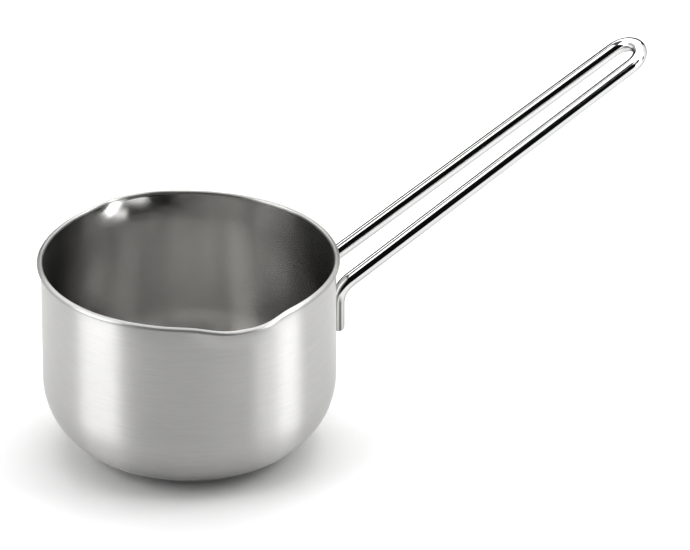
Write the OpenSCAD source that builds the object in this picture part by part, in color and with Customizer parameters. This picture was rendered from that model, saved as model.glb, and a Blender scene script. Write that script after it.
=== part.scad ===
// Small melting pot: a drawn bowl with two pouring spouts and a long handle bent from one round wire.
// The origin is the middle of the flat base, +Z is up, the handle points along +X and left is +Y.

/* [Bowl] */
// Outside diameter of the straight wall
bowl_d = 102; // [90:1:140]
// Height from the resting face to the top of the rim
bowl_h = 70.5; // [60:0.5:110]
// Thickness of the sheet in the base and the wall
sheet_t = 1; // [0.8:0.1:1.2]
// Outside radius of the rounded bottom edge
corner_r = 26; // [15:1:30]

/* [Rim] */
// Thickness of the sheet at the rim, where forming has thinned it
rim_t = 0.6; // [0.5:0.1:0.7]
// How far the turned-over rim stands out past the wall
rim_out = 1.4; // [1.2:0.1:2.5]
// Slope of the rim's top, down and outwards from its inner edge
rim_slope = 20; // [0:1:30]

/* [Spouts] */
// How far a spout's tip stands out past the rim
spout_out = 3.2; // [1:0.1:6]
// How far the rim dips at a spout's tip
spout_dip = 1; // [0:0.05:2]
// Half of a spout's width, as an angle about the bowl's axis
spout_half_angle = 15; // [8:1:20]
// How square a spout is in plan: 2 is pointed, 4 is blunt
spout_bluntness = 3; // [2:0.1:4]
// How far down from the rim a spout is pressed into the wall
spout_depth = 9; // [6:0.5:14]
// Angle from the handle to the left spout, on the +Y side; the right spout is straight opposite
spout_angle = 86; // [75:1:105]
// How far the rim is drawn in beside a spout
rim_pull = 0.35; // [0:0.05:1]

/* [Handle] */
// Diameter of the wire
wire_d = 5; // [4:0.1:6]
// Slope of the handle above level
rise_angle = 27.7; // [0:0.1:45]
// Length of the sloping legs, from their bend to the centre of the end loop
leg_len = 130.4; // [80:0.2:180]
// Distance between the wire's two ends, axis to axis
root_gap = 17.5; // [14:0.1:24]
// Distance between the two legs at the end loop, axis to axis
tip_gap = 14; // [10:0.1:14]
// Radius of the bend at the wall, to the wire's axis
bend_r = 9; // [6:0.5:12]
// How far beneath the rim the legs would meet the wall if they had no bend
bend_drop = 20.4; // [14:0.2:26]
// Length of wire that lies along the wall, from that same point down
tail_len = 15.5; // [15:0.5:20]
// Bevel on the cut ends of the wire
end_bevel = 0.5; // [0.2:0.1:1]

/* [Welds] */
// Weld metal between the wire and the wall, at its thinnest
weld_t = 0.2; // [0.1:0.05:0.5]
// Width of each weld
weld_w = 3.4; // [2:0.1:4]
// Length of each weld
weld_len = 8; // [4:0.5:8]

/* [Hidden] */
$fn = 64;
steel = "#c9c9c7";
bright_steel = "#dededc";
weld_steel = "#b5b5b2";

// Bowl: the lower part is a plain revolve, and the band above it carries the spouts and the rim
bowl_r = bowl_d / 2;
inner_r = bowl_r - rim_t;

// Rim: the sheet is folded outwards at the top of the wall, slopes down and curls under at its edge
fold_r = rim_t + 0.1;
fold_at = [inner_r + fold_r, bowl_h - fold_r];
curl_r = 0.95;
curl_end = -25;
top_angle = 90 - rim_slope;
curl_x = bowl_r + rim_out - curl_r;
flat_len = (curl_x - fold_at[0] + (curl_r - fold_r) * cos(top_angle)) / sin(top_angle);
curl_at = [curl_x, fold_at[1] + (fold_r - curl_r) * sin(top_angle) - flat_len * cos(top_angle)];
rim_h = bowl_h - curl_at[1];

// Band: its skin lies a hair beneath the wall's, and it reaches a little way down into the wall.
// It thins evenly from the wall's thickness at its foot to the rim's at its top.
band_inset = 0.04;
band_overlap = 0.5;
band_z = bowl_h - rim_h - spout_depth - 0.5;
pull_angle = 41;
pull_width = 15;
around = 96;
wall_steps = 6;
skin_steps = 5;
under_steps = 3;
edge_steps = 4;

// Handle: each leg turns from the wall to the slope in a plane that leans slightly towards the other leg.
// The straight lengths run a little way into the bends, whose wire is a hair thicker, so it is one solid.
wire_r = wire_d / 2;
wire_axis_r = bowl_r + weld_t + wire_r;
root_turn = asin(root_gap / 2 / wire_axis_r);
root_x = wire_axis_r * cos(root_turn);
root_z = bowl_h - bend_drop;
closing = atan((root_gap - tip_gap) / 2 / leg_len);
loop_r = tip_gap / 2 * cos(closing);
leg_rise = asin(sin(rise_angle) * cos(closing));
leg_yaw = atan2(sin(closing), cos(rise_angle) * cos(closing));
leg_run = leg_len * cos(closing) + root_gap / 2 * sin(closing);
bend_turn = 90 - leg_rise;
bend_cut = bend_r * tan(bend_turn / 2);
bend_wire_r = wire_r + 0.015;
join_len = 0.3;
weld_z = root_z - tail_len + 1;

// Angle between two directions about the axis, from -180 to 180
function apart(a, b) = (a - b + 540) % 360 - 180;

// How strongly one spout shows at a direction: 1 at its tip, 0 away from it
function one_spout(d) = exp(-pow(abs(d) / spout_half_angle, spout_bluntness));
function spout_share(a) = one_spout(apart(a, spout_angle)) + one_spout(apart(a, spout_angle + 180));

// How strongly the rim is drawn in at a direction
function one_pull(d) = exp(-pow((abs(d) - pull_angle) / pull_width, 2));
function pull_share(a) = one_pull(apart(a, spout_angle)) + one_pull(apart(a, spout_angle + 180));

// How strongly the pressing shows at a height: it grows as a parabola up to the rim, which moves whole
function press_share(z) = pow(max(0, min(1, (z - bowl_h + rim_h + spout_depth) / spout_depth)), 2);

// A point of the band: a point [r, z] of the plain section, pressed as its direction and height ask
function pressed(p, a) =
    let (
        k = press_share(p[1]),
        r = p[0] + k * (spout_out * spout_share(a) - rim_pull * pull_share(a)),
        z = p[1] - k * spout_dip * spout_share(a)
    )
    [r * cos(a), r * sin(a), z];

// Some points, from one step to another, of a length of wall and of an arc
function wall_points(from, to, first, last) =
    [for (i = [first : last]) from + (to - from) * i / wall_steps];
function arc_points(centre, r, from, to, steps, first, last) = [
    for (i = [first : last])
        let (a = from + (to - from) * i / steps)
        centre + r * [cos(a), sin(a)]
];

// The band's section: up the outside, along under the rim, round its edge, back over it and down the
// inside. A point where two lengths meet is given once.
function band_section() =
    let (
        outer_foot = [bowl_r - band_inset, band_z - band_overlap],
        outer_top = [bowl_r - band_inset, fold_at[1]],
        inner_foot = [bowl_r - sheet_t + band_inset, band_z - band_overlap],
        inner_top = [inner_r + band_inset, fold_at[1]],
        under = band_inset - rim_t,
        edge_at = curl_at + (curl_r - rim_t / 2) * [cos(curl_end), sin(curl_end)],
        edge_r = rim_t / 2 - band_inset
    )
    concat(
        wall_points(outer_foot, outer_top, 0, wall_steps - 1),
        arc_points(fold_at, fold_r + under, 180, top_angle, under_steps, 0, under_steps),
        arc_points(curl_at, curl_r + under, top_angle, curl_end, under_steps, 0, under_steps),
        arc_points(edge_at, edge_r, curl_end + 180, curl_end + 360, edge_steps, 1, edge_steps - 1),
        arc_points(curl_at, curl_r - band_inset, curl_end, top_angle, skin_steps, 0, skin_steps),
        arc_points(fold_at, fold_r - band_inset, top_angle, 180, skin_steps, 0, skin_steps),
        wall_points(inner_top, inner_foot, 1, wall_steps)
    );

// A ring-shaped solid: the section repeated around the axis and closed on itself
module ring_solid(section) {
    n = len(section);
    ring_points = [
        for (j = [0 : around - 1])
            for (p = section)
                pressed(p, 360 * j / around)
    ];
    ring_faces = [
        for (j = [0 : around - 1])
            for (i = [0 : n - 1])
                let (
                    a = j * n + i,
                    b = j * n + (i + 1) % n,
                    c = ((j + 1) % around) * n + (i + 1) % n,
                    d = ((j + 1) % around) * n + i
                )
                each [[a, b, c], [a, c, d]]
    ];
    polyhedron(points = ring_points, faces = ring_faces, convexity = 8);
}

// Half of a round-bottomed section, from the axis outwards
module half_section(r, h, c) {
    intersection() {
        union() {
            square([r - c, h]);
            translate([0, c])
                square([r, h - c]);
            translate([r - c, c])
                circle(r = c);
        }
        square([r, h]);
    }
}

module lower_bowl() {
    rotate_extrude()
        difference() {
            half_section(bowl_r, band_z, corner_r);
            translate([0, sheet_t])
                half_section(bowl_r - sheet_t, band_z, corner_r - sheet_t);
        }
}

module pot_bowl() {
    color(steel)
        union() {
            lower_bowl();
            ring_solid(band_section());
        }
}

// One end of the wire: up the wall, round the bend and out along the slope
module wire_leg(side) {
    translate([root_x, side * root_gap / 2, root_z])
        rotate([0, 0, -side * leg_yaw]) {
            translate([0, 0, -tail_len])
                cylinder(r1 = wire_r - end_bevel, r2 = wire_r, h = end_bevel);
            translate([0, 0, -tail_len + end_bevel])
                cylinder(r = wire_r, h = tail_len - end_bevel - bend_cut + join_len);
            translate([bend_r, 0, -bend_cut])
                rotate([90, 0, 0])
                    rotate([0, 0, 180 - bend_turn])
                        rotate_extrude(angle = bend_turn)
                            translate([bend_r, 0])
                                circle(r = bend_wire_r);
            rotate([0, 90 - leg_rise, 0])
                translate([0, 0, bend_cut - join_len])
                    cylinder(r = wire_r, h = leg_run - bend_cut + 2 * join_len);
        }
}

module end_loop() {
    translate([root_x, 0, root_z])
        rotate([0, -rise_angle, 0])
            translate([leg_len, 0, 0])
                rotate([0, 0, -(90 - closing)])
                    rotate_extrude(angle = 180 - 2 * closing)
                        translate([loop_r, 0])
                            circle(r = bend_wire_r);
}

module wire_handle() {
    color(bright_steel)
        union() {
            wire_leg(-1);
            wire_leg(1);
            end_loop();
        }
}

// Weld metal that fills the space between one end of the wire and the wall
module weld_bead(side) {
    color(weld_steel)
        rotate([0, 0, side * root_turn])
            translate([0, 0, weld_z])
                linear_extrude(height = weld_len)
                    difference() {
                        translate([bowl_r - sheet_t / 2, -weld_w / 2])
                            square([wire_axis_r - bowl_r + sheet_t / 2, weld_w]);
                        circle(r = bowl_r, $fn = 360);
                        translate([wire_axis_r, 0])
                            circle(r = wire_r);
                    }
}

module weld_left() {
    weld_bead(1);
}

module weld_right() {
    weld_bead(-1);
}

pot_bowl();
wire_handle();
weld_left();
weld_right();
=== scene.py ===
# %% [markdown]
# # A small melting pot
#
# The pot is a bowl drawn from one sheet of stainless steel, with a handle bent from
# one length of round wire. Two short welds hold the wire to the wall.
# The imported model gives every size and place. This lesson makes the surfaces that
# are seen, in metres and in the same frame, and then their finishes.

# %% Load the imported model
import math

import bmesh
import bpy
from mathutils import Euler, Matrix, Vector


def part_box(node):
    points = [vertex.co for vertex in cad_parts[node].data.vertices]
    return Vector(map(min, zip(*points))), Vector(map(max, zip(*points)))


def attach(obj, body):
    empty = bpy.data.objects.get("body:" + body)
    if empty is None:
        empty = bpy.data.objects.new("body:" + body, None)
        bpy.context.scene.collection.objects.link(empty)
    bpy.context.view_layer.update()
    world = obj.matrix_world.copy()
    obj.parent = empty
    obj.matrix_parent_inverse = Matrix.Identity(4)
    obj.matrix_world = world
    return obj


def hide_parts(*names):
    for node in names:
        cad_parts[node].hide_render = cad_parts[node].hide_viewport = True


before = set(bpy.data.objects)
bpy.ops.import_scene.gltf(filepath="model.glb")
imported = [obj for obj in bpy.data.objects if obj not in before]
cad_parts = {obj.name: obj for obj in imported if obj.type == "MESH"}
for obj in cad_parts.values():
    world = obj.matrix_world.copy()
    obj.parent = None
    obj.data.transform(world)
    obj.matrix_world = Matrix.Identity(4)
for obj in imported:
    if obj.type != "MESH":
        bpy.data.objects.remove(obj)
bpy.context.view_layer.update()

mm = 0.001
bowl_low, bowl_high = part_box("pot_bowl")
wire_low, wire_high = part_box("wire_handle")

# %% [markdown]
# ## Sums with nodes
#
# A material or a Geometry Nodes recipe is a tree of nodes. Its arithmetic is easier
# to read as Python, so a small class wraps a node's output and turns +, -, *, / and
# ** into Math nodes. Every other node is added by one method, which takes the
# node's type, its settings and what goes into its sockets.

# %% Wrap a node's output
def put(tree, socket, value):
    """Links a value to a socket, or sets the socket to a plain number, text or colour."""
    if isinstance(value, Value):
        tree.links.new(value.socket, socket)
    else:
        socket.default_value = value


class Value:
    """The output of a node, ready to be used in a sum."""

    def __init__(self, tree, socket):
        self.tree = tree
        self.socket = socket

    def math(self, operation, *numbers):
        """Adds one Math node; the first number is this value unless others are given."""
        node = self.tree.nodes.new("ShaderNodeMath")
        node.operation = operation
        for socket, number in zip(node.inputs, numbers or (self,)):
            put(self.tree, socket, number)
        return Value(self.tree, node.outputs[0])

    def __add__(self, other):
        return self.math("ADD", self, other)

    def __radd__(self, other):
        return self.math("ADD", other, self)

    def __sub__(self, other):
        return self.math("SUBTRACT", self, other)

    def __rsub__(self, other):
        return self.math("SUBTRACT", other, self)

    def __mul__(self, other):
        return self.math("MULTIPLY", self, other)

    def __rmul__(self, other):
        return self.math("MULTIPLY", other, self)

    def __truediv__(self, other):
        return self.math("DIVIDE", self, other)

    def __pow__(self, other):
        return self.math("POWER", self, other)

    def __neg__(self):
        return self.math("MULTIPLY", self, -1.0)

    def __abs__(self):
        return self.math("ABSOLUTE")

    def exp(self):
        return self.math("EXPONENT")

    def held(self):
        """This value, held between 0 and 1."""
        return self.math("MINIMUM", self.math("MAXIMUM", self, 0.0), 1.0)


# %% Add any other node
def shown(sockets, name):
    """The socket with this name that is in use, or the one at this place in the list."""
    if isinstance(name, int):
        return sockets[name]
    return next(s for s in sockets if s.name == name and s.enabled)


class Step:
    """A node that has been added: step["Name"] is the value of its output."""

    def __init__(self, tree, node):
        self.tree = tree
        self.node = node

    def __getitem__(self, name):
        return Value(self.tree, shown(self.node.outputs, name))


class Recipe:
    """A node tree under construction."""

    def __init__(self, tree):
        self.tree = tree
        tree.nodes.clear()

    def add(self, kind, settings=None, sockets=None):
        """Adds a node: its settings first, then the numbers or links of its sockets."""
        node = self.tree.nodes.new(kind)
        for name, value in (settings or {}).items():
            setattr(node, name, value)
        for name, value in (sockets or {}).items():
            put(self.tree, shown(node.inputs, name), value)
        return Step(self.tree, node)

    def mix(self, share, a, b):
        """A colour between a and b."""
        blend = {"Factor": share, "A": a, "B": b}
        return self.add("ShaderNodeMix", {"data_type": "RGBA"}, blend)["Result"]


print("tools ready")

# %% [markdown]
# ## Geometry Nodes as a press and a bending jig
#
# A Geometry Nodes recipe has named inputs for its sizes. Once it has run on a piece,
# the result is kept as a plain mesh, so the piece that is handed on has no live
# modifier and can be baked, exported and posed like any other.

# %% Recipes with named inputs
SOCKETS = {
    float: "NodeSocketFloat",
    int: "NodeSocketInt",
    bpy.types.Material: "NodeSocketMaterial",
}


def new_recipe(name, sizes):
    """A Geometry Nodes tree with a geometry input, named sizes and a geometry output."""
    tree = bpy.data.node_groups.new(name, "GeometryNodeTree")
    recipe = Recipe(tree)
    tree.interface.new_socket("Geometry", in_out="INPUT", socket_type="NodeSocketGeometry")
    for label, value in sizes.items():
        kind = SOCKETS[bpy.types.Material if isinstance(value, bpy.types.Material) else type(value)]
        tree.interface.new_socket(label, in_out="INPUT", socket_type=kind)
    tree.interface.new_socket("Geometry", in_out="OUTPUT", socket_type="NodeSocketGeometry")
    return recipe, recipe.add("NodeGroupInput")


def finish_recipe(recipe, geometry, material):
    """Ends a recipe: instances are made real and the material is set."""
    real = recipe.add("GeometryNodeRealizeInstances", sockets={"Geometry": geometry})
    dressed = recipe.add(
        "GeometryNodeSetMaterial", sockets={"Geometry": real["Geometry"], "Material": material}
    )
    recipe.add("NodeGroupOutput", sockets={"Geometry": dressed["Geometry"]})


def run_recipe(raw, recipe, sizes, name):
    """Runs a recipe on a raw object and returns a new object with the result as a plain mesh."""
    modifier = raw.modifiers.new(recipe.tree.name, "NODES")
    modifier.node_group = recipe.tree
    for item in recipe.tree.interface.items_tree:
        if item.in_out == "INPUT" and item.name in sizes:
            modifier[item.identifier] = sizes[item.name]
    evaluated = raw.evaluated_get(bpy.context.evaluated_depsgraph_get())
    mesh = bpy.data.meshes.new_from_object(evaluated)
    mesh.name = name
    piece = bpy.data.objects.new(name, mesh)
    bpy.context.scene.collection.objects.link(piece)
    bpy.data.objects.remove(raw)
    return piece


def face_outwards(piece, sharp=40):
    """Turns a closed mesh's faces outwards and smooths it, but for edges sharper than an angle."""
    work = bmesh.new()
    work.from_mesh(piece.data)
    bmesh.ops.recalc_face_normals(work, faces=work.faces)
    if work.calc_volume(signed=True) < 0:
        bmesh.ops.reverse_faces(work, faces=work.faces)
    volume = work.calc_volume(signed=True)
    open_edges = sum(1 for edge in work.edges if len(edge.link_faces) != 2)
    work.to_mesh(piece.data)
    work.free()
    piece.data.shade_smooth()
    piece.data.set_sharp_from_angle(angle=math.radians(sharp))
    triangles = sum(len(face.vertices) - 2 for face in piece.data.polygons)
    size = round(volume / mm**3)
    print(piece.name, triangles, "triangles,", size, "mm3,", open_edges, "open edges")


# %% [markdown]
# ## The finish of the bowl
#
# The bowl is satin stainless steel. A turning abrasive pad leaves fine lines that run
# round it, so a reflection is drawn out across the lines, up and down the wall.
# Two things make that finish here: the shader's own anisotropy, and a noise squeezed
# into long thin lines. The lines follow an attribute that the bowl's mesh carries:
# how far along the sheet's section a point is. Two more attributes mark the rim,
# which is dulled a little and given a darker colour, a painted shade that dims its
# reflections, and the inside, which is smoother and given a darker colour, a painted
# shade of the hollow.
# The turned-in bottom edge is smoother too, because the pad bears on it harder.

# %% The satin steel
def attribute(recipe, name):
    """A number that the mesh carries at each of its points."""
    return recipe.add("ShaderNodeAttribute", {"attribute_name": name})["Fac"]


def brushed_lines(recipe, run, fineness, length, detail=2.0):
    """Long thin lines round the axis: fineness is per metre, length how many pass in a turn."""
    place = recipe.add("ShaderNodeTexCoord")["Object"]
    flat = recipe.add(
        "ShaderNodeVectorMath", {"operation": "MULTIPLY"}, {0: place, 1: (1.0, 1.0, 0.0)}
    )
    round_axis = recipe.add(
        "ShaderNodeVectorMath", {"operation": "NORMALIZE"}, {0: flat["Vector"]}
    )
    spread = recipe.add(
        "ShaderNodeVectorMath", {"operation": "SCALE"}, {0: round_axis["Vector"], "Scale": length}
    )
    up = recipe.add("ShaderNodeCombineXYZ", sockets={"Z": run * fineness})
    lines = recipe.add(
        "ShaderNodeVectorMath", {"operation": "ADD"}, {0: spread["Vector"], 1: up["Vector"]}
    )
    noise = recipe.add(
        "ShaderNodeTexNoise",
        sockets={"Vector": lines["Vector"], "Scale": 1.0, "Detail": detail, "Roughness": 0.6},
    )
    return noise["Fac"]


def steel(recipe, colour, roughness, height, bump_strength, anisotropy=0.0, turn=0.0, edge=1.0):
    """Ends a metal finish with its bump. Edge under 1 darkens what is seen at a slant."""
    bump = recipe.add(
        "ShaderNodeBump",
        sockets={"Height": height, "Strength": bump_strength, "Distance": 0.01 * mm},
    )
    shader = recipe.add(
        "ShaderNodeBsdfPrincipled",
        sockets={
            "Base Color": colour,
            "Metallic": 1.0,
            "Specular Tint": (edge, edge, edge, 1.0),
            "Roughness": roughness,
            "Normal": bump["Normal"],
            "Anisotropic": anisotropy,
            "Anisotropic Rotation": turn,
        },
    )
    recipe.add("ShaderNodeOutputMaterial", sockets={"Surface": shader["BSDF"]})


base_run = 52.0 * mm  # from the middle of the base, part way up the rounded edge
base_fade = 20.0 * mm
rim_roughness = 0.40


def satin_steel():
    """The bowl's finish."""
    material = bpy.data.materials.new("satin_steel")
    material.use_nodes = True
    recipe = Recipe(material.node_tree)
    run = attribute(recipe, "run")
    rim = attribute(recipe, "rim")
    fine = brushed_lines(recipe, run, fineness=5000.0, length=7.0)
    broad = brushed_lines(recipe, run, fineness=1400.0, length=3.0)
    here = recipe.add("ShaderNodeTexCoord")["Object"]
    cloud = recipe.add(
        "ShaderNodeTexNoise", sockets={"Vector": here, "Scale": 45.0, "Detail": 2.0}
    )["Fac"]
    lines = 0.6 * fine + 0.4 * broad
    satin = recipe.mix(lines, (0.46, 0.458, 0.45, 1.0), (0.60, 0.597, 0.588, 1.0))
    inside = attribute(recipe, "inside")
    # Painted shade: the inside's colour is pulled darker, standing in for the shade inside the
    # hollow of the bowl.
    wall = recipe.mix(inside * 0.15, satin, (0.36, 0.35, 0.335, 1.0))
    # Painted shade: the rim's colour is darker than the wall's, so that its reflections read
    # dimmer.
    colour = recipe.mix(rim, wall, (0.44, 0.44, 0.43, 1.0))
    base = ((base_run - run) / base_fade).held()
    rough_wall = 0.31 + 0.06 * lines + 0.03 * cloud - 0.12 * inside - 0.16 * base
    roughness = rough_wall * (1.0 - rim) + rim_roughness * rim
    height = lines * (1.0 - 0.8 * rim)
    steel(recipe, colour, roughness, height, 0.25, anisotropy=0.95, turn=0.25)
    return material


bowl_finish = satin_steel()
print("finish:", bowl_finish.name)

# %% [markdown]
# ## The bowl
#
# A real bowl of this kind is deep-drawn from a disc, trimmed, and its edge is turned
# outwards. Both its skins are therefore one section turned about an axis. The two
# pouring spouts are pressed into the rim afterwards, so here too the plain bowl is
# turned first, and a Geometry Nodes press then moves the points near the rim.

# %% The section of the sheet
rim_out = 1.4 * mm
skin = 0.04 * mm
wall_r = -bowl_low.x - rim_out + skin
top = bowl_high.z + skin
sheet, rim_sheet = 1.0 * mm, 0.6 * mm
corner_r = 26.0 * mm
fold_r, curl_r = 0.7 * mm, 0.95 * mm
rim_slope, curl_end = 20, -25
spout_depth = 9.0 * mm


def arc(centre, radius, start, end, steps):
    """Points of an arc in the section. Angles are in degrees."""
    turns = [math.radians(start + (end - start) * i / steps) for i in range(steps + 1)]
    return [(centre[0] + radius * math.cos(t), centre[1] + radius * math.sin(t)) for t in turns]


def straight(start, end, steps):
    """Points along a straight length of the section, without its two ends."""
    return [tuple(a + (b - a) * i / steps for a, b in zip(start, end)) for i in range(1, steps)]


def rim_centres():
    """The middles of the fold at the top of the wall and of the curl at the rim's edge."""
    slope = math.radians(rim_slope)
    fold = Vector((wall_r - rim_sheet + fold_r, top - fold_r))
    curl_x = wall_r + rim_out - curl_r
    flat = (curl_x - fold.x + (curl_r - fold_r) * math.sin(slope)) / math.cos(slope)
    drop = (curl_r - fold_r) * math.cos(slope) + flat * math.sin(slope)
    return fold, Vector((curl_x, fold.y - drop))


def bowl_section():
    """The section from the middle of the base up the outside, round the rim and down the inside."""
    fold, curl = rim_centres()
    thin = skin * 1.1
    face = 90 - rim_slope
    edge_way = Vector((math.cos(math.radians(curl_end)), math.sin(math.radians(curl_end))))
    edge = curl + edge_way * (curl_r - rim_sheet / 2)
    wall_top = (wall_r - thin, fold.y)
    press_foot = curl.y - spout_depth
    points = [(0.0, 0.0)]
    points += straight(points[-1], (wall_r - corner_r, 0.0), 8)
    points += arc((wall_r - corner_r, corner_r), corner_r, -90, 0, 36)
    points += straight(points[-1], (wall_r, press_foot), 8) + [(wall_r, press_foot)]
    points += straight(points[-1], wall_top, 20)
    points += arc(fold, fold_r - rim_sheet + thin, 180, face, 4)
    rim_start = len(points)
    points += arc(curl, curl_r - rim_sheet + thin, face, curl_end, 6)
    points += arc(edge, rim_sheet / 2 - thin, curl_end + 180, curl_end + 360, 8)[1:-1]
    points += arc(curl, curl_r - thin, curl_end, face, 12)
    points += straight(points[-1], arc(fold, fold_r - thin, face, 180, 1)[0], 3)
    points += arc(fold, fold_r - thin, face, 180, 12)
    rim_end = len(points) - 1
    inner_foot = (wall_r - sheet, press_foot)
    points += straight(points[-1], inner_foot, 20) + [inner_foot]
    points += straight(points[-1], (wall_r - sheet, corner_r), 8)
    points += arc((wall_r - corner_r, corner_r), corner_r - sheet, 0, -90, 34)
    points += straight(points[-1], (0.0, sheet), 8) + [(0.0, sheet)]
    return points, rim_start, rim_end


section, rim_start, rim_end = bowl_section()
print(len(section), "points in the section")


# %% Turn the section about the axis
def turned_bowl(around=320):
    """The plain bowl before its spouts are pressed, with the attributes that its finish reads."""
    runs = [0.0]
    for here, there in zip(section, section[1:]):
        runs.append(runs[-1] + math.dist(here, there))
    work = bmesh.new()
    run_layer = work.verts.layers.float.new("run")
    rim_layer = work.verts.layers.float.new("rim")
    inside_layer = work.verts.layers.float.new("inside")
    rings = []
    for i, (r, z) in enumerate(section):
        on_axis = i in (0, len(section) - 1)
        ring = []
        for j in range(1 if on_axis else around):
            a = 2 * math.pi * j / around
            vert = work.verts.new((r * math.cos(a), r * math.sin(a), z))
            vert[run_layer] = runs[i]
            vert[rim_layer] = 1.0 if rim_start <= i <= rim_end else 0.0
            vert[inside_layer] = 1.0 if i > rim_end else 0.0
            ring.append(vert)
        rings.append(ring)
    for low, high in zip(rings, rings[1:]):
        for j in range(around):
            k = (j + 1) % around
            pairs = ((low, j), (low, k), (high, k), (high, j))
            corners = [circle[i % len(circle)] for circle, i in pairs]
            work.faces.new(list(dict.fromkeys(corners)))
    mesh = bpy.data.meshes.new("turned_bowl")
    work.to_mesh(mesh)
    work.free()
    raw = bpy.data.objects.new("turned_bowl", mesh)
    bpy.context.scene.collection.objects.link(raw)
    return raw


raw_bowl = turned_bowl()
print(len(raw_bowl.data.polygons), "faces in the plain bowl")

# %% [markdown]
# The press works in plan. Near a spout the sheet moves outwards and a little down,
# and beside it the rim is drawn in slightly, because the sheet's length round the
# rim stays the same. Both fade out down the wall as a parabola.

# %% Press the two spouts
spout_sizes = {
    "Spout Out": 3.16 * mm,
    "Spout Dip": 1.0 * mm,
    "Half Angle": math.radians(15),
    "Bluntness": 3.0,
    "Spout Turn": math.radians(86),
    "Rim Pull": 0.35 * mm,
    "Pull Angle": math.radians(41),
    "Pull Width": math.radians(15),
    "Rim Height": rim_centres()[1].y,
    "Depth": spout_depth,
    "Finish": bowl_finish,
}


def press_recipe():
    """Moves the points of a turned bowl outwards and down at two opposite spouts."""
    recipe, given = new_recipe("press_spouts", spout_sizes)
    place = recipe.add("GeometryNodeInputPosition")["Position"]
    parts = recipe.add("ShaderNodeSeparateXYZ", sockets={"Vector": place})
    x, y, z = parts["X"], parts["Y"], parts["Z"]
    turn = y.math("ARCTAN2", y, x)
    radius = (x * x + y * y) ** 0.5
    spout, pull = 0.0, 0.0
    for other_side in (0.0, math.pi):
        away = abs(turn.math("WRAP", turn - given["Spout Turn"] - other_side, math.pi, -math.pi))
        spout = spout + (-((away / given["Half Angle"]) ** given["Bluntness"])).exp()
        beside = (away - given["Pull Angle"]) / given["Pull Width"]
        pull = pull + (-(beside * beside)).exp()
    reach = ((z - given["Rim Height"] + given["Depth"]) / given["Depth"]).held()
    share = reach * reach
    moved = radius + share * (given["Spout Out"] * spout - given["Rim Pull"] * pull)
    scale = moved / radius
    low = z - share * given["Spout Dip"] * spout
    pressed = recipe.add(
        "ShaderNodeCombineXYZ", sockets={"X": x * scale, "Y": y * scale, "Z": low}
    )
    bowl = recipe.add(
        "GeometryNodeSetPosition",
        sockets={"Geometry": given["Geometry"], "Position": pressed["Vector"]},
    )
    finish_recipe(recipe, bowl["Geometry"], given["Finish"])
    return recipe


bowl = run_recipe(raw_bowl, press_recipe(), spout_sizes, "bowl")
face_outwards(bowl)
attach(bowl, "root")
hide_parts("pot_bowl")
reach_y = max(v.co.y for v in bowl.data.vertices)
print("spout tip at", round(reach_y / mm, 3), "mm, CAD", round(bowl_high.y / mm, 3), "mm")

# %% [markdown]
# ## The finish of the handle
# The wire is drawn stainless rod, bent and then polished bright, so it mirrors the
# room: pale above and below, with one dark line along its middle. Drawing leaves
# very faint lines along the length, which the finish adds from the attributes that
# the wire's mesh carries: how far along and how far round a point is. A dark line
# is painted along the side of each end, beside the wall: a painted shade of the
# narrow gap between the wire and the wall, which is also made a little rougher.

# %% The polished wire
# Where the painted shade of the gap between each wire end and the wall lies.
crevice_shade_r = 54.0 * mm
crevice_shade_width = 0.55 * mm
crevice_shade_top = 49.0 * mm
crevice_shade_fade = 3.0 * mm


def bright_wire():
    """The handle's finish."""
    material = bpy.data.materials.new("bright_wire")
    material.use_nodes = True
    recipe = Recipe(material.node_tree)
    along = attribute(recipe, "along")
    turn = attribute(recipe, "round")
    place = recipe.add(
        "ShaderNodeCombineXYZ",
        sockets={
            "X": turn.math("COSINE") * 6.0,
            "Y": turn.math("SINE") * 6.0,
            "Z": along * 60.0,
        },
    )["Vector"]
    drawn = recipe.add(
        "ShaderNodeTexNoise", sockets={"Vector": place, "Scale": 1.0, "Detail": 3.0}
    )["Fac"]
    here = recipe.add("ShaderNodeTexCoord")["Object"]
    marks = recipe.add(
        "ShaderNodeTexNoise", sockets={"Vector": here, "Scale": 300.0, "Detail": 2.0}
    )["Fac"]
    parts = recipe.add("ShaderNodeSeparateXYZ", sockets={"Vector": here})
    x, y, z = parts["X"], parts["Y"], parts["Z"]
    # Painted shade: a dark band down the side of each wire end next to the wall stands in for the
    # shade of the narrow gap between them.
    away = ((x * x + y * y) ** 0.5 - crevice_shade_r) / crevice_shade_width
    low = ((crevice_shade_top - z) / crevice_shade_fade).held()
    crevice_shade = (-(away * away)).exp() * low
    polished = recipe.mix(drawn, (0.65, 0.65, 0.65, 1.0), (0.73, 0.73, 0.725, 1.0))
    # The painted shade of the gap is mixed into the wire's colour here.
    colour = recipe.mix(crevice_shade * 0.85, polished, (0.09, 0.085, 0.08, 1.0))
    roughness = 0.06 + 0.04 * drawn + 0.03 * marks + 0.15 * crevice_shade
    steel(recipe, colour, roughness, drawn, 0.12, edge=0.3)
    return material


wire_finish = bright_wire()
print("finish:", wire_finish.name)

# %% [markdown]
# ## The handle
#
# A length of wire is folded round a peg at its middle, the two legs are bent down
# where they meet the wall, and the cut ends are bevelled. The route of the wire's
# axis is worked out from those bends, and a Geometry Nodes jig sweeps a circle
# along it. A wire that is swept along its axis keeps its section in every bend.

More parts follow.
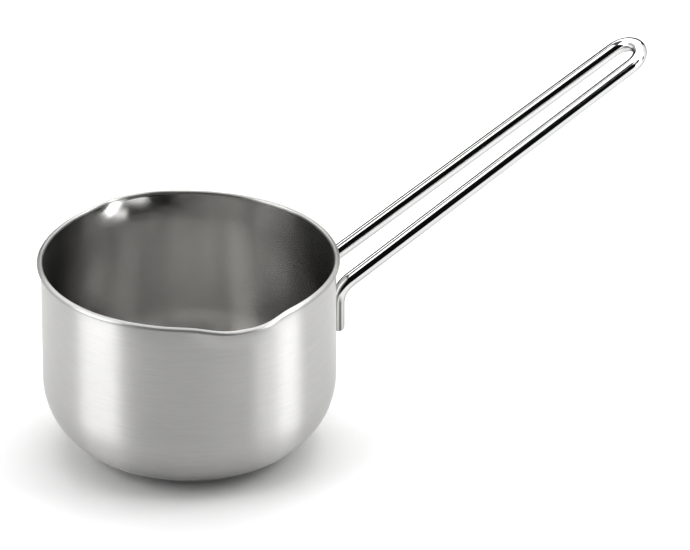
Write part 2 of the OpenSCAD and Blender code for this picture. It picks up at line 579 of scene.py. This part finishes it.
# %% The route of the wire's axis
wire_r = 2.5 * mm
root_gap, tip_gap = 17.5 * mm, 14.0 * mm
leg_length, bend_r, tail = 130.4 * mm, 9.0 * mm, 15.5 * mm
rise = math.radians(27.7)
weld_gap = 0.2 * mm
wire_axis_r = wall_r + weld_gap + wire_r
root = Vector((math.sqrt(wire_axis_r**2 - (root_gap / 2) ** 2), root_gap / 2, wire_low.z + tail))
slope = Vector((math.cos(rise), 0.0, math.sin(rise)))
tip = Vector((root.x, 0.0, root.z)) + slope * leg_length


def rounded_corner(before, corner, after, radius, steps):
    """Points of an arc that rounds the corner between two straight lengths."""
    first, second = (before - corner).normalized(), (after - corner).normalized()
    half = first.angle(second) / 2
    centre = corner + (first + second).normalized() * radius / math.sin(half)
    start, end = (
        corner + way * radius / math.tan(half) - centre for way in (first, second)
    )
    sweep = start.angle(end)
    across = (end - start * math.cos(sweep)) / math.sin(sweep)
    turns = [sweep * i / steps for i in range(steps + 1)]
    return [centre + start * math.cos(t) + across * math.sin(t) for t in turns]


def wire_route():
    """The axis of the wire from one cut end to the other, and the share of its radius there."""
    closing = math.atan((root_gap - tip_gap) / 2 / leg_length)
    loop_r = tip_gap / 2 * math.cos(closing)
    foot = root - Vector((0.0, 0.0, tail))
    aside = Vector((0.0, loop_r * math.cos(closing), 0.0))
    leg_end = tip + aside + slope * loop_r * math.sin(closing)
    half = [foot + Vector((0.0, 0.0, step * mm)) for step in (0.0, 0.1, 0.25, 0.5, 0.8)]
    shares = [0.8, 0.87, 0.94, 0.99, 1.0]
    half += rounded_corner(foot, root, leg_end, bend_r, 24)
    quarter = math.pi / 2 - closing
    for t in [quarter - quarter * i / 20 for i in range(21)]:
        half.append(tip + Vector((0.0, loop_r * math.sin(t), 0.0)) + slope * loop_r * math.cos(t))
    shares += [1.0] * (len(half) - len(shares))
    mirrored = [Vector((p.x, -p.y, p.z)) for p in reversed(half[:-1])]
    return half + mirrored, shares + shares[-2::-1]


route, radius_shares = wire_route()
length = sum((b - a).length for a, b in zip(route, route[1:]))
print(len(route), "points,", round(length / mm, 1), "mm of wire")


# %% Sweep the wire along its route
wire_sizes = {"Wire Radius": wire_r, "Sides": 48, "Finish": wire_finish}


def wire_recipe():
    """Sweeps a circle along a curve and keeps how far along and round each point is."""
    recipe, given = new_recipe("sweep_wire", wire_sizes)
    along = recipe.add("GeometryNodeSplineParameter")["Length"]
    marked = recipe.add(
        "GeometryNodeStoreNamedAttribute",
        {"data_type": "FLOAT", "domain": "POINT"},
        {"Geometry": given["Geometry"], "Name": "along", "Value": along},
    )
    circle = recipe.add(
        "GeometryNodeCurvePrimitiveCircle",
        sockets={"Resolution": given["Sides"], "Radius": given["Wire Radius"]},
    )
    index = recipe.add("GeometryNodeInputIndex")["Index"]
    around = index * (2 * math.pi) / given["Sides"]
    turned = recipe.add(
        "GeometryNodeStoreNamedAttribute",
        {"data_type": "FLOAT", "domain": "POINT"},
        {"Geometry": circle["Curve"], "Name": "round", "Value": around},
    )
    radius = recipe.add("GeometryNodeInputRadius")["Radius"]
    swept = recipe.add(
        "GeometryNodeCurveToMesh",
        sockets={
            "Curve": marked["Geometry"],
            "Profile Curve": turned["Geometry"],
            "Scale": radius,
            "Fill Caps": True,
        },
    )
    finish_recipe(recipe, swept["Mesh"], given["Finish"])
    return recipe


def raw_wire():
    """The route as a curve, with the share of the radius at each of its points."""
    curve = bpy.data.curves.new("wire_route", "CURVE")
    curve.dimensions = "3D"
    spline = curve.splines.new("POLY")
    spline.points.add(len(route) - 1)
    for point, place, share in zip(spline.points, route, radius_shares):
        point.co = (*place, 1.0)
        point.radius = share
    raw = bpy.data.objects.new("wire_route", curve)
    bpy.context.scene.collection.objects.link(raw)
    return raw


handle = run_recipe(raw_wire(), wire_recipe(), wire_sizes, "handle")
face_outwards(handle, sharp=50)
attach(handle, "root")
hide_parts("wire_handle")
tip_x = max(v.co.x for v in handle.data.vertices)
print("handle ends at", round(tip_x / mm, 2), "mm, CAD", round(wire_high.x / mm, 2), "mm")

# %% [markdown]
# ## The finish of the welds
#
# Weld metal is duller than the wire. It keeps a fine grain from its brushing and a
# faint straw tint from the heat, so the finish mixes two noises: a fine one for the
# grain and a broad one for the tint.

# %% The weld metal
def weld_metal():
    """The welds' finish."""
    material = bpy.data.materials.new("weld_metal")
    material.use_nodes = True
    recipe = Recipe(material.node_tree)
    place = recipe.add("ShaderNodeTexCoord")["Object"]
    grain = recipe.add(
        "ShaderNodeTexNoise", sockets={"Vector": place, "Scale": 900.0, "Detail": 4.0}
    )["Fac"]
    heat = recipe.add("ShaderNodeTexNoise", sockets={"Vector": place, "Scale": 160.0})["Fac"]
    pale = recipe.mix(grain, (0.46, 0.45, 0.43, 1.0), (0.62, 0.61, 0.59, 1.0))
    colour = recipe.mix(heat * 0.35, pale, (0.42, 0.36, 0.28, 1.0))
    steel(recipe, colour, 0.28 + 0.2 * grain, grain, 0.5)
    return material


weld_finish = weld_metal()
print("finish:", weld_finish.name)

# %% [markdown]
# ## The welds
#
# Each end of the wire is joined to the wall by one short bead. A bead is laid in
# small steps, which leaves a fine ripple along it, and it is narrower where it
# starts and stops. Here it is a stack of plan sections, each a low mound between
# the wall and the wire; its middle is hidden inside the wire.

# %% Build the two weld beads
bead_half_width = 1.65 * mm
bead_rise = 0.62 * mm
bead_depth = 0.1 * mm
ripples = 9


def bead_ring(t, across=16):
    """One plan section of a bead, as distances out and sideways. T runs from 0 to 1."""
    grow = math.sin(math.pi * (0.06 + 0.88 * t)) ** 0.4
    ripple = 1 - 0.07 * abs(math.cos(math.pi * ripples * t))
    half_width = bead_half_width * (0.55 + 0.45 * grow) * ripple
    sides = [half_width * (2 * i / across - 1) for i in range(across + 1)]
    rise_here = bead_rise * ripple * grow
    mound = [(wall_r + rise_here * (1 - (u / half_width) ** 2), u) for u in sides]
    return mound + [(wall_r - bead_depth, u) for u in reversed(sides)]


def weld_bead(name, side, levels=90):
    """The bead beside one end of the wire. Side is 1 on the +Y side and -1 on the other."""
    low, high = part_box(name)
    turn = side * math.asin(root_gap / 2 / wire_axis_r)
    work = bmesh.new()
    rings = []
    for level in range(levels + 1):
        t = level / levels
        z = low.z + (high.z - low.z) * t
        ring = []
        for out, sideways in bead_ring(t):
            x = out * math.cos(turn) - sideways * math.sin(turn)
            y = out * math.sin(turn) + sideways * math.cos(turn)
            ring.append(work.verts.new((x, y, z)))
        rings.append(ring)
    for below, above in zip(rings, rings[1:]):
        for i, corner in enumerate(below):
            j = (i + 1) % len(below)
            work.faces.new((corner, below[j], above[j], above[i]))
    work.faces.new(rings[0])
    work.faces.new(rings[-1])
    mesh = bpy.data.meshes.new(name.replace("weld", "bead"))
    work.to_mesh(mesh)
    work.free()
    mesh.materials.append(weld_finish)
    bead = bpy.data.objects.new(mesh.name, mesh)
    bpy.context.scene.collection.objects.link(bead)
    face_outwards(bead, sharp=50)
    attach(bead, "root")
    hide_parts(name)


weld_bead("weld_left", 1)
weld_bead("weld_right", -1)

# %% [markdown]
# ## The studio
#
# The pot stands on a pale table under one soft box, with ten more at both sides and
# behind. Each is placed by the angle it is seen at from the pot, so its distance can
# change without changing its reflection. The side facing the camera stays dark, which
# draws the dark line along the wire and keeps the middle of the bowl grey.

# %% The floor
table_r = 6.0
table_gap = 0.02 * mm


def pale_floor():
    """A wide, plain, pale table top."""
    material = bpy.data.materials.new("pale_table")
    material.use_nodes = True
    recipe = Recipe(material.node_tree)
    shader = recipe.add(
        "ShaderNodeBsdfPrincipled",
        sockets={
            "Base Color": (0.78, 0.78, 0.78, 1.0),
            "Roughness": 0.7,
            "Specular IOR Level": 0.2,
        },
    )
    recipe.add("ShaderNodeOutputMaterial", sockets={"Surface": shader["BSDF"]})
    work = bmesh.new()
    below = Matrix.Translation((0.0, 0.0, -table_gap))
    bmesh.ops.create_circle(work, cap_ends=True, segments=96, radius=table_r, matrix=below)
    mesh = bpy.data.meshes.new("table")
    work.to_mesh(mesh)
    work.free()
    mesh.materials.append(material)
    floor = bpy.data.objects.new("table", mesh)
    bpy.context.scene.collection.objects.link(floor)
    return floor


table = pale_floor()

# %% The camera
view_turn = math.radians(26.2)
view_rise = math.radians(27.685)
view_distance = 2.761
aim = Vector((0.0473, -0.0263, 0.0653))
towards_camera = Vector(
    (
        -math.sin(view_turn) * math.cos(view_rise),
        -math.cos(view_turn) * math.cos(view_rise),
        math.sin(view_rise),
    )
)
camera = bpy.data.objects.new("camera", bpy.data.cameras.new("camera"))
bpy.context.scene.collection.objects.link(camera)
camera.data.sensor_width = 36.0
camera.data.lens = 417.4
camera.data.clip_start = 0.1
camera.data.clip_end = 30.0
camera.location = aim + towards_camera * view_distance
camera.rotation_euler = Euler((math.pi / 2 - view_rise, 0.0, -view_turn))
bpy.context.scene.camera = camera
print("camera at", [round(v, 3) for v in camera.location])


# %% The lights
distance = 2.0
pot_middle = Vector((0.0, 0.0, 0.04))


def soft_box(name, turn, rise, wide, tall, glow):
    """A flat soft box that faces the pot, placed and sized by angles seen from the pot."""
    light = bpy.data.lights.new(name, "AREA")
    light.shape = "RECTANGLE"
    across = math.cos(math.radians(rise)) * math.tan(math.radians(wide / 2))
    light.size = 2 * distance * across
    light.size_y = 2 * distance * math.tan(math.radians(tall / 2))
    light.energy = glow * math.pi * light.size * light.size_y
    box = bpy.data.objects.new(name, light)
    bpy.context.scene.collection.objects.link(box)
    angle, up = math.radians(turn) - view_turn, math.radians(rise)
    level = math.cos(up)
    ahead = Vector((math.sin(angle) * level, -math.cos(angle) * level, math.sin(up)))
    box.location = ahead * distance
    look = pot_middle - box.location
    box.rotation_euler = look.to_track_quat("-Z", "Y").to_euler()
    box.visible_camera = False


# name: turn from the camera's side, rise, width and height in degrees, and glow
studio = {
    "left_box": (-70, 25, 40, 50, 4.3),
    "left_back_box": (-120, 12.5, 60, 25, 0.8),
    "left_back_upper_box": (-120, 37.5, 60, 25, 2.3),
    "right_front_box": (60, 12.5, 20, 25, 2.2),
    "right_box": (80, 12.5, 20, 25, 5.0),
    "right_upper_box": (90, 37.5, 40, 25, 4.4),
    "right_back_box": (125, 25, 50, 50, 1.3),
    "back_box": (180, 50, 60, 50, 2.5),
    "high_left_box": (-90, 62.5, 120, 25, 0.2),
    "high_right_box": (90, 62.5, 120, 25, 1.5),
}
for name, sizes in studio.items():
    soft_box(name, *sizes)


def top_box(side=1.62, glow=1.8):
    """A square soft box straight above the pot."""
    light = bpy.data.lights.new("top_box", "AREA")
    light.size = side
    light.energy = glow * math.pi * side * side
    box = bpy.data.objects.new("top_box", light)
    bpy.context.scene.collection.objects.link(box)
    box.location = (0.0, 0.0, distance)
    box.rotation_euler = (0.0, 0.0, -view_turn)
    box.visible_camera = False


top_box()
print(len(studio) + 1, "soft boxes")

# %% The room
scene = bpy.context.scene
scene.world = bpy.data.worlds.new("room")
scene.world.use_nodes = True
room = Recipe(scene.world.node_tree)
background = room.add(
    "ShaderNodeBackground", sockets={"Color": (0.01, 0.01, 0.01, 1.0), "Strength": 1.0}
)
room.add("ShaderNodeOutputWorld", sockets={"Surface": background["Background"]})
scene.view_settings.view_transform = "Standard"
tone = 1.35  # over 1 deepens the greys and leaves white as it is
scene.view_settings.gamma = 1 / tone
